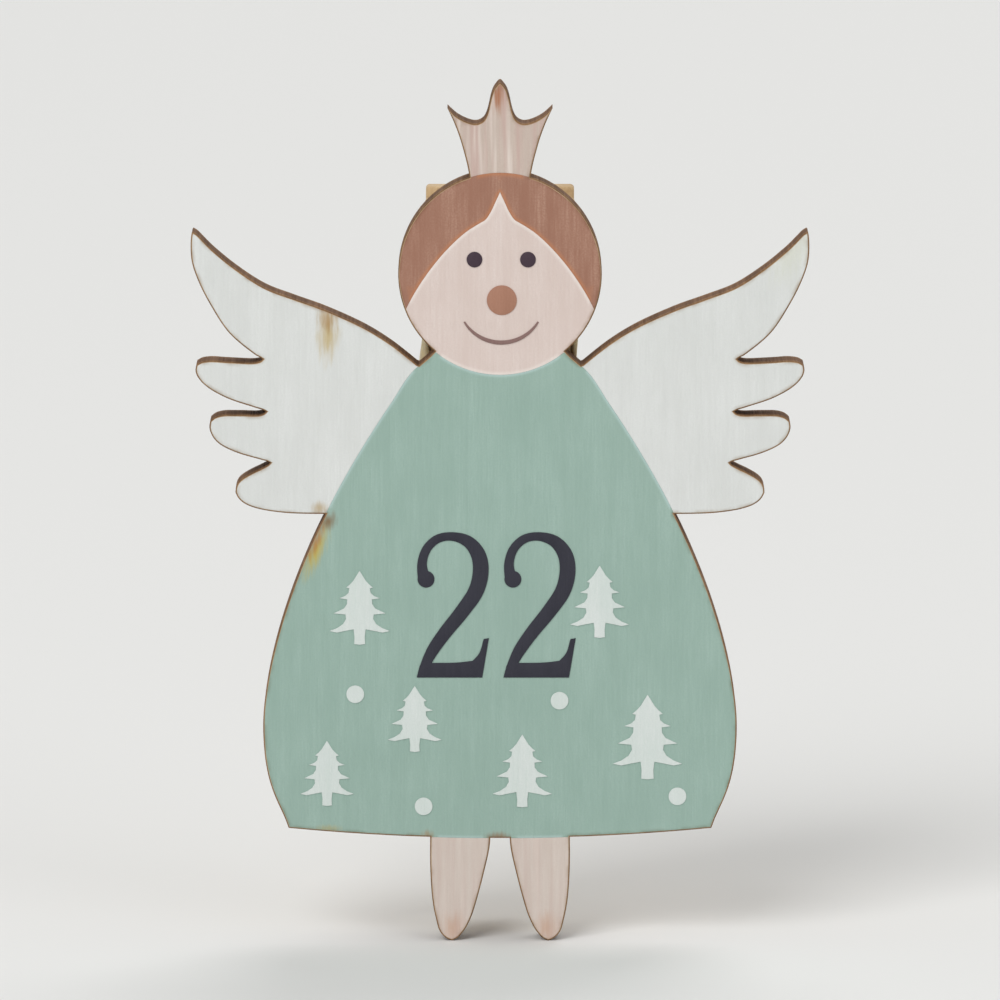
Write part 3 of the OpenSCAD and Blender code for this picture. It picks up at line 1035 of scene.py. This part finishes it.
@dataclass(frozen=True)
class ZincedWire(Finish):
    """Drawn spring steel wire with thin zinc: grey metal, softly bright, slightly cloudy."""

    name: str = "zinced_spring_wire"
    colour: str = "#C6C6C2"
    rough: tuple[float, float] = (0.26, 0.42)
    specular: float = 0.5
    depth: float = 0.01

    def layers(self) -> list[Layer]:
        """Lists the zinc's clouds and small dull specks.

        Returns:
            The layers, from the lowest.
        """
        return [
            Layer("#9D9C98", 0.8, ZINC_CLOUD),
            Layer("#7F7D78", 0.5, Grain(0.6, 0.75, (0.15, 0.15, 0.15), 5.0)),
        ]

    def relief(self) -> list[tuple[Grain, float]]:
        """Drawing lines and the clouds."""
        return [(ZINC_CLOUD, 0.3), (Grain(0.3, 0.7, (0.9, 0.05, 0.05), 3.0), 0.25)]

    def sockets(self) -> dict[str, object]:
        """Bare metal."""
        return {"Metallic": 1.0}


@dataclass(frozen=True)
class SetGlue(Finish):
    """Clear hot-melt glue, set: milky yellow, smooth and a little glossy."""

    name: str = "set_clear_glue"
    colour: str = "#E6DCC0"
    rough: tuple[float, float] = (0.24, 0.36)
    specular: float = 0.5
    depth: float = 0.06

    def layers(self) -> list[Layer]:
        """Where it is milkier."""
        return [Layer("#D2C299", 0.9, GLUE_WAVE)]

    def relief(self) -> list[tuple[Grain, float]]:
        """Soft waves left as it set."""
        return [(GLUE_WAVE, 0.4)]

    def sockets(self) -> dict[str, object]:
        """Lets some light pass a short way into it.

        Returns:
            The shader's values by name.
        """
        return {
            "Subsurface Weight": 0.4,
            "Subsurface Radius": (0.5, 0.4, 0.25),
            "Subsurface Scale": 0.4 * MM,
        }


def settle(piece: Object, body: str, slot: str, *nodes: str) -> Object:
    """Ties a finished piece to the frame.

    Args:
        piece: The piece.
        body: The body that it rides on.
        slot: Not used.
        nodes: The CAD nodes that it stands for.

    Returns:
        The piece.
    """
    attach(piece, body)
    if nodes:
        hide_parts(*nodes)
    return piece


def depths_of(node: str) -> tuple[float, float]:
    """Depth of a node's front and back in millimetres."""
    low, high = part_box(node)
    return low.y / MM, high.y / MM


class Veneer(Enum):
    """The board's layers: the CAD node, the piece's name and the slot."""

    FRONT = ("figure_front_ply", "front_veneer_panel", "front_veneer")
    CORE = ("figure_core_ply", "core_veneer_panel", "core_veneer")
    BACK = ("figure_back_ply", "back_veneer_panel", "back_veneer")


@dataclass
class FigureBoard:
    """The plywood angel: three bonded veneers that the laser cut in one pass."""

    nodes: dict[str, Object]
    step: float = 0.14
    edge_break: float = 0.05
    joint_groove: float = 0.02
    pitch: float = 0.42
    rows: tuple[float, ...] = (0.1, 0.25, 0.5, 0.9)

    def outline(self) -> list[Outline]:
        """The board's cut outline, drawn fine."""
        node, _, _ = Veneer.FRONT.value
        return [line.smoothed(self.step) for line in outlines(self.nodes[node], Facing.FRONT)]

    def build(self) -> list[Object]:
        """Makes the three veneers.

        Returns:
            The pieces.
        """
        bare = BareVeneer().build()
        face_cut = LaserCutEdge("laser_cut_face_veneer_edge", "#8E6E4E", char="#5A402C").build()
        core_cut = LaserCutEdge("laser_cut_core_veneer_edge", "#73543D", char="#422D21").build()
        lines = self.outline()
        made = []
        for veneer in Veneer:
            node, name, slot = veneer.value
            faces = (Veneer.FRONT, Veneer.BACK)
            breaks = [self.edge_break if veneer is face else self.joint_groove for face in faces]
            slab = Slab(
                name,
                lines,
                edge_rings(*depths_of(node), *breaks),
                pitch=self.pitch if veneer is Veneer.FRONT else 0.0,
                back_pitch=self.pitch if veneer is Veneer.BACK else 0.0,
                depths=self.rows,
                edge_lines=lines,
            )
            piece = slab.build(bare, core_cut if veneer is Veneer.CORE else face_cut)
            made.append(settle(piece, FRONT_BODY, slot, node))
        return made


@dataclass
class Film:
    """One printed area: its CAD node, its piece's name and slot, and its ink."""

    node: str
    piece: str
    slot: str
    ink: PrintedInk


@dataclass
class Print:
    """The films of ink on the board's front, the motifs, the number and the face."""

    nodes: dict[str, Object]
    board: list[Outline]
    step: float = 0.12
    lip: float = 0.02
    lip_steps: int = 2
    pitch: float = 0.45
    rows: tuple[float, ...] = (0.07, 0.16, 0.34)

    def inks(self) -> list[Film]:
        """Lists the printed areas and their inks, with the stains in them.

        Returns:
            The areas.
        """
        white = PrintedInk(
            "white_uv_ink",
            "#D7D9D7",
            shade="#C9CBC8",
            grain=0.8,
            stains=(
                Layer("#E0C27C", 0.75, Spot(-9.2, 14.8, 1.5, 3.4), Blend.DARKEN),
                Layer("#CDA362", 0.65, Spot(-9.2, 15.7, 1.3, 1.7, high=0.1), Blend.DARKEN),
                Layer("#D2B27A", 0.7, Spot(-9.65, 5.55, 1.1, 0.9), Blend.DARKEN),
                Layer("#9B8462", 0.8, Spot(-9.05, 5.25, 0.9, 0.7), Blend.DARKEN),
                Layer("#FBFBF0", 0.8, Spot(15.6, 19.4, 2.4, 5.0, -25), Blend.DARKEN),
            ),
        )
        green = PrintedInk(
            "sage_green_uv_ink",
            "#9BB3A9",
            shade="#8CA59A",
            seam="#AFC6C4",
            stains=(
                Layer("#B9A33F", 0.8, Spot(-9.85, 3.2, 1.05, 3.8, -23)),
                Layer("#A3683E", 0.65, Spot(-9.82, 3.7, 0.6, 2.7, -23)),
                Layer("#7A5A34", 0.85, Spot(-9.15, 4.8, 0.9, 1.3, -23)),
                Layer("#8A6342", 0.7, Spot(-0.1, -12.35, 1.6, 0.8)),
                Layer("#9A7448", 0.5, Spot(-3.9, -12.2, 0.9, 0.7)),
                Layer("#A89A62", 0.5, Spot(-9.2, -11.85, 1.8, 0.5)),
            ),
        )
        hair = PrintedInk(
            "brown_uv_ink", "#B79380", shade="#936A58", grain=1.6, seam="#B87A54", seam_width=0.28
        )
        skin = PrintedInk("skin_uv_ink", "#D9CCC6", shade="#CAB9B1", seam="#E6DDD6", seam_width=0.24)
        tip = Layer("#D08A50", 0.9, Spot(-0.05, 27.8, 1.3, 2.6), Blend.DARKEN)
        crown = GrainPrintInk("wood_grain_uv_ink", "#C6B7AC", shade="#B8A89D", stains=(tip,))
        toes = tuple(Layer("#F0CDB4", 0.6, Spot(x, -17.3, 1.7, 2.2), Blend.DARKEN) for x in (-2.5, 2.5))
        leg = GrainPrintInk(
            "wood_grain_uv_ink_legs",
            "#CFC4BC",
            shade="#C3B5AB",
            grain=0.8,
            contrast=0.35,
            scorch=0.4,
            stains=toes,
        )
        return [
            Film("dress_print", "dress_ink", "green_ink", green),
            Film("wing_print_left", "left_wing_ink", "white_ink", white),
            Film("wing_print_right", "right_wing_ink", "white_ink", white),
            Film("hair_print", "hair_ink", "brown_ink", hair),
            Film("face_print", "face_ink", "skin_ink", skin),
            Film("crown_print", "crown_ink", "wood_grain_ink", crown),
            Film("leg_print", "leg_ink", "wood_grain_ink", leg),
        ]

    def marks(self) -> list[Film]:
        """Lists the small printed marks on top of the areas.

        Returns:
            The marks.
        """
        inks = {
            "eyes": ("eyes_ink", "dark_ink", "dark_plum_uv_ink", "#372A34", "#4A3C45"),
            "nose": ("nose_ink", "tan_ink", "nose_tan_uv_ink", "#A87D69", "#966B57"),
            "smile": ("smile_ink", "line_ink", "smile_brown_uv_ink", "#775C58", "#8C736D"),
            "number": ("number_ink", "number_ink", "slate_uv_ink", "#292932", "#3A3A43"),
        }
        return [
            Film(f"{mark}_print", piece, slot, PrintedInk(name, colour, shade=shade, grain=0.6, scorch=0))
            for mark, (piece, slot, name, colour, shade) in inks.items()
        ]

    def film(self, film: Film, finish: Material, on_board: bool) -> Object:
        """Makes one film of ink.

        Args:
            film: What it is.
            finish: Its material.
            on_board: Whether it lies on the bare board, up to the cut edge.

        Returns:
            The piece.
        """
        lines = [line.smoothed(self.step) for line in outlines(self.nodes[film.node], Facing.FRONT)]
        slab = Slab(film.piece, lines, edge_rings(*depths_of(film.node), self.lip, 0.0, self.lip_steps))
        if on_board:
            slab.pitch, slab.depths, slab.edge_lines = self.pitch, self.rows, self.board
        return settle(slab.build(finish, finish), FRONT_BODY, film.slot, film.node)

    def stamped(self, film: Film, finish: Material) -> Object:
        """Makes a printed motif once and repeats it at its places.

        Args:
            film: What it is.
            finish: Its material.

        Returns:
            The piece.
        """
        lines = [line.points for line in outlines(self.nodes[film.node], Facing.FRONT)]
        heights = np.array([np.ptp(line[:, 1]) for line in lines])
        feet = np.array([[(line[:, 0].min() + line[:, 0].max()) / 2, line[:, 1].min()] for line in lines])
        largest = int(heights.argmax())
        front, back = depths_of(film.node)
        line = Outline((lines[largest] - feet[largest]) / heights[largest])
        motif = Slab("motif", [line], [(0.0, 0.0), (back - front, 0.0)]).build(finish, finish)
        co = np.column_stack([feet[:, 0], np.full(len(feet), front), feet[:, 1]])
        seeds = seed_points(co, "share", heights / heights[largest], joined=False)
        values = {"Motif": motif, "Full size": float(heights[largest]), "Finish": finish}
        made = STAMPS.grow(film.piece, seeds, values)
        bpy.data.objects.remove(motif)
        return settle(made, FRONT_BODY, film.slot, film.node)

    def build(self) -> list[Object]:
        """Makes every printed piece, the trees and dots last.

        Returns:
            The pieces.
        """
        finishes: dict[str, Material] = {}
        made = []
        for films, on_board in ((self.inks(), True), (self.marks(), False)):
            for film in films:
                finishes[film.ink.name] = finishes.get(film.ink.name) or film.ink.build()
                made.append(self.film(film, finishes[film.ink.name], on_board))
        pale = PrintedInk("pale_motif_uv_ink", "#D5D9D7", shade="#BFCBC5", grain=0.7, scorch=0)
        finish = pale.build()
        for node, piece in (("tree_print", "tree_ink"), ("dot_print", "dot_ink")):
            made.append(self.stamped(Film(node, piece, "motif_ink", pale), finish))
        return made


class Lever(Enum):
    """The peg's levers: the CAD node, the piece's name, its body, and what sets its grain apart."""

    FRONT = ("peg_front_lever", "front_lever", FRONT_BODY, 0.0)
    REAR = ("peg_rear_lever", "rear_lever", REAR_BODY, 5.3)


@dataclass
class Peg:
    """The two sawn levers, their edges worn round by tumbling."""

    nodes: dict[str, Object]
    corner_radius: float = 0.26
    edge_radius: float = 0.2
    edge_steps: int = 4
    pitch: float = 1.4
    rows: tuple[float, ...] = (0.12,)

    def build(self) -> list[Object]:
        """Makes both levers.

        Returns:
            The pieces.
        """
        made = []
        for lever in Lever:
            node, name, body, shift = lever.value
            finish = SawnBirch(f"tumbled_birch_{name}", shift=shift).build()
            lines = [line.rounded(self.corner_radius) for line in outlines(self.nodes[node], Facing.RIGHT)]
            low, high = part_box(node)
            radii = (self.edge_radius, self.edge_radius)
            rings = edge_rings(-high.x / MM, -low.x / MM, *radii, self.edge_steps)
            slab = Slab(name, lines, rings, Facing.RIGHT, self.pitch, self.pitch, self.rows)
            made.append(settle(slab.build(finish, finish), body, "peg_wood", node))
        return made


@dataclass
class Spring:
    """The torsion spring, close wound from one wire, with an arm and a crossbar for each lever."""

    joint: dict
    wire: float = 0.8
    turn_space: float = 0.03
    inner_bend: float = 0.5
    crossbar_short: float = 0.4
    turn_steps: int = 28
    bar_steps: int = 7
    bend_steps: int = 8
    arm_steps: int = 5
    facets: int = 16
    blend_reach: float = 3.9

    def route(self) -> np.ndarray:
        """Finds the wire's way, from the front crossbar through the coil to the rear crossbar.

        Returns:
            Points along the wire, in millimetres.
        """
        low, high = (np.array(corner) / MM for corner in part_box("peg_spring"))
        peg_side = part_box(Lever.FRONT.value[0])[0].x / MM
        axis = np.array(self.joint["pos_m"]) / MM
        radius = self.wire / 2
        coil = high[2] - axis[2] - radius
        arm_x = high[0] - radius
        bar_at = np.array([-(high[1] - radius), low[2] + radius - axis[2]])
        leave = math.atan2(bar_at[1], bar_at[0]) + math.acos(coil / np.linalg.norm(bar_at))
        part = math.pi - 2 * leave
        whole = math.floor(2 * arm_x / (self.wire + self.turn_space) - part / math.tau)
        turned = part + math.tau * whole
        t = np.linspace(0, 1, round(self.turn_steps * turned / math.tau) + 1)
        angle = leave + turned * t
        winding = np.column_stack([arm_x * (1 - 2 * t), coil * np.cos(angle), coil * np.sin(angle)])
        bend = self.inner_bend + radius
        arms = []
        for side, end in ((1, winding[0]), (-1, winding[-1])):
            corner = np.array([side * arm_x, side * bar_at[0], bar_at[1]])
            along, across = unit(end - corner), np.array([-side, 0.0, 0.0])
            turn = np.linspace(0, math.pi / 2, self.bend_steps + 1)[:, None]
            curve = corner + bend * (along * (1 - np.cos(turn)) + across * (1 - np.sin(turn)))
            tip = np.array([side * (peg_side + self.crossbar_short), corner[1], corner[2]])
            bar = np.linspace(tip, curve[0], self.bar_steps + 1)[:-1]
            arm = np.linspace(curve[-1], end, self.arm_steps + 1)[1:-1]
            arms.append(np.vstack([bar, curve, arm]))
        return np.vstack([arms[0], winding, arms[1][::-1]]) + axis

    def build(self) -> list[Object]:
        """Makes the wire.

        Returns:
            The piece.
        """
        route = self.route()
        values = {"Radius": self.wire / 2 * MM, "Facets": self.facets, "Finish": ZincedWire().build()}
        seeds = seed_points(route, "swell", np.ones(len(route)), joined=True)
        piece = BEAD.grow("spring_wire", seeds, values)
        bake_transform(piece)
        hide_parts("peg_spring")
        return [piece]


@dataclass
class GlueLine:
    """The set glue between the front lever and the figure, with the beads squeezed out at its sides."""

    nodes: dict[str, Object]
    step: float = 0.3
    edge: float = 0.03
    edge_steps: int = 2
    bead: float = 0.3
    bead_step: float = 0.35
    bead_margin: float = 0.6
    taper: float = 0.8
    facets: int = 14
    waves: int = 4
    wave_turns: tuple[float, float] = (0.5, 1.9)
    wave_starts: tuple[float, float] = (0.0, 6.0)
    mean_swell: float = 0.75
    wave_swell: float = 0.7
    least_swell: float = 0.2
    most_swell: float = 1.3
    tip_share: float = 0.05

    def swell(self, up: np.ndarray, rng: np.random.Generator) -> np.ndarray:
        """Makes a bead uneven along its run, and thin at both ends.

        Args:
            up: Heights of the bead's points.
            rng: Where random numbers come from.

        Returns:
            The bead's thickness at each point, as a share of the usual one.
        """
        waves = (
            np.sin(up * rng.uniform(*self.wave_turns) + rng.uniform(*self.wave_starts))
            for _ in range(self.waves)
        )
        uneven = self.mean_swell + self.wave_swell * (sum(waves) / self.waves)
        ends = np.minimum(up - up[0], up[-1] - up) / self.taper
        thick = np.clip(uneven, self.least_swell, self.most_swell)
        return thick * np.sqrt(np.clip(ends, self.tip_share, 1))

    def build(self) -> list[Object]:
        """Makes both pads and their beads.

        Returns:
            The pieces.
        """
        finish = SetGlue().build()
        rng = np.random.default_rng(SEED)
        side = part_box(Lever.FRONT.value[0])[1].x / MM
        made = []
        for node, name in (("glue_upper", "upper_glue"), ("glue_lower", "lower_glue")):
            front, back = depths_of(node)
            lines = [line.smoothed(self.step) for line in outlines(self.nodes[node], Facing.FRONT)]
            rings = edge_rings(front, back, self.edge, self.edge, self.edge_steps)
            pad = Slab(name, lines, rings).build(finish, finish)
            low, high = (corner.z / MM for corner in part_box(node))
            up = np.arange(low + self.bead_margin, high - self.bead_margin, self.bead_step)
            values = {"Radius": self.bead * MM, "Facets": self.facets, "Finish": finish}
            for turn, end in ((-1, "left"), (1, "right")):
                across, deep = np.full_like(up, turn * side), np.full_like(up, (front + back) / 2)
                co = np.column_stack([across, deep, up])
                seeds = seed_points(co, "swell", self.swell(up, rng), joined=True)
                squeezed = BEAD.grow(f"{name}_bead_{end}", seeds, values)
                made.append(settle(squeezed, FRONT_BODY, "dried_glue"))
            made.append(settle(pad, FRONT_BODY, "dried_glue", node))
        return made


@dataclass(frozen=True)
class Lamp:
    """One soft square lamp: where it is from the doll's middle and its side, in metres, and its watts."""

    name: str
    place: tuple[float, float, float]
    size: float
    power: float


@dataclass
class Studio:
    """A pale floor under the feet, soft light and the camera in front, a little above."""

    low: Vector
    high: Vector
    elevation: float = 8.5
    distance: float = 0.62
    filled: float = 0.86
    sensor: float = 36.0
    clip_start: float = 0.01
    ground: str = "#E9E9E7"
    even_light: float = 0.38
    floor: str = "#E4E4E2"
    floor_radius: float = 4.0
    floor_sides: int = 96
    lamps: tuple[Lamp, ...] = (
        Lamp("key_lamp", (-0.55, -1.0, 0.9), 0.8, 12.6),
        Lamp("fill_lamp", (0.95, -0.9, 0.35), 0.9, 4.1),
        Lamp("back_lamp", (0.25, 0.85, 1.05), 0.85, 7.1),
    )

    def aimed(self, name: str, data: ID, away: Vector) -> Object:
        """Puts a camera or lamp in the scene, facing the doll's middle.

        Args:
            name: Its name.
            data: The camera or lamp.
            away: Its place, from the doll's middle.

        Returns:
            The object.
        """
        obj = bpy.data.objects.new(name, data)
        obj.location = (self.low + self.high) / 2 + away
        obj.rotation_mode = "QUATERNION"
        obj.rotation_quaternion = (-away).to_track_quat("-Z", "Y")
        bpy.context.scene.collection.objects.link(obj)
        return obj

    def camera(self) -> None:
        """Sets up the camera so that the doll fills most of the frame's height."""
        data = bpy.data.cameras.new("camera")
        data.sensor_width = self.sensor
        data.lens = data.sensor_width * self.distance * self.filled / (self.high.z - self.low.z)
        data.clip_start = self.clip_start
        a = math.radians(self.elevation)
        away = Vector((0.0, -math.cos(a), math.sin(a))) * self.distance
        bpy.context.scene.camera = self.aimed("camera", data, away)

    def light_evenly(self) -> None:
        """Lights the scene evenly, and shows the pale ground wherever nothing stands."""
        world = bpy.data.worlds.new("studio")
        bpy.context.scene.world = world
        world.use_nodes = True
        tree = world.node_tree
        tree.nodes.clear()
        white = {"Color": linear("#FFFFFF"), "Strength": self.even_light}
        light = add_node(tree, "ShaderNodeBackground", white)
        shown = add_node(tree, "ShaderNodeBackground", {"Color": linear(self.ground), "Strength": 1.0})
        ray = add_node(tree, "ShaderNodeLightPath").outputs
        seen = ray["Is Camera Ray"]
        for kind in ("Is Glossy Ray", "Is Transmission Ray"):
            seen = add_node(tree, "ShaderNodeMath", {0: seen, 1: ray[kind]}, operation="MAXIMUM").outputs[0]
        mix = add_node(tree, "ShaderNodeMixShader", {0: seen, 1: light.outputs[0], 2: shown.outputs[0]})
        add_node(tree, "ShaderNodeOutputWorld", {"Surface": mix.outputs[0]})

    def lay_floor(self) -> None:
        """Lays a plain matt floor under the feet, which fades into the ground behind."""
        finish = Finish("pale_matt_floor", self.floor, (0.9, 0.9), 0.1).build()
        turn = np.linspace(0, math.tau, self.floor_sides, endpoint=False)
        rim = self.floor_radius * np.column_stack([np.cos(turn), np.sin(turn), np.zeros(self.floor_sides)])
        face = tuple(range(self.floor_sides))
        mesh_object("floor", rim + [0, 0, self.low.z], [face], [finish])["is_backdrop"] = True

    def build(self) -> None:
        """Sets up the whole studio."""
        self.camera()
        for lamp in self.lamps:
            data = bpy.data.lights.new(lamp.name, "AREA")
            data.shape, data.size, data.energy = "SQUARE", lamp.size, lamp.power
            self.aimed(lamp.name, data, Vector(lamp.place))
        self.light_evenly()
        self.lay_floor()
        bpy.context.scene.view_settings.view_transform = "Standard"


def main() -> None:
    """Builds the doll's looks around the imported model, one sub-assembly after the other."""
    logging.basicConfig(level=logging.INFO, format="%(message)s")
    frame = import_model()
    cad_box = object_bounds()
    nodes = frame["nodes"]
    board = FigureBoard(nodes)
    parts = (board, Print(nodes, board.outline()), Peg(nodes), Spring(frame["joints"][0]), GlueLine(nodes))
    for part in parts:
        for piece in part.build():
            LOG.info("%s: %s, %d faces", type(part).__name__, piece.name, len(piece.data.polygons))
    Studio(*cad_box).build()


if __name__ == "__main__":
    main()
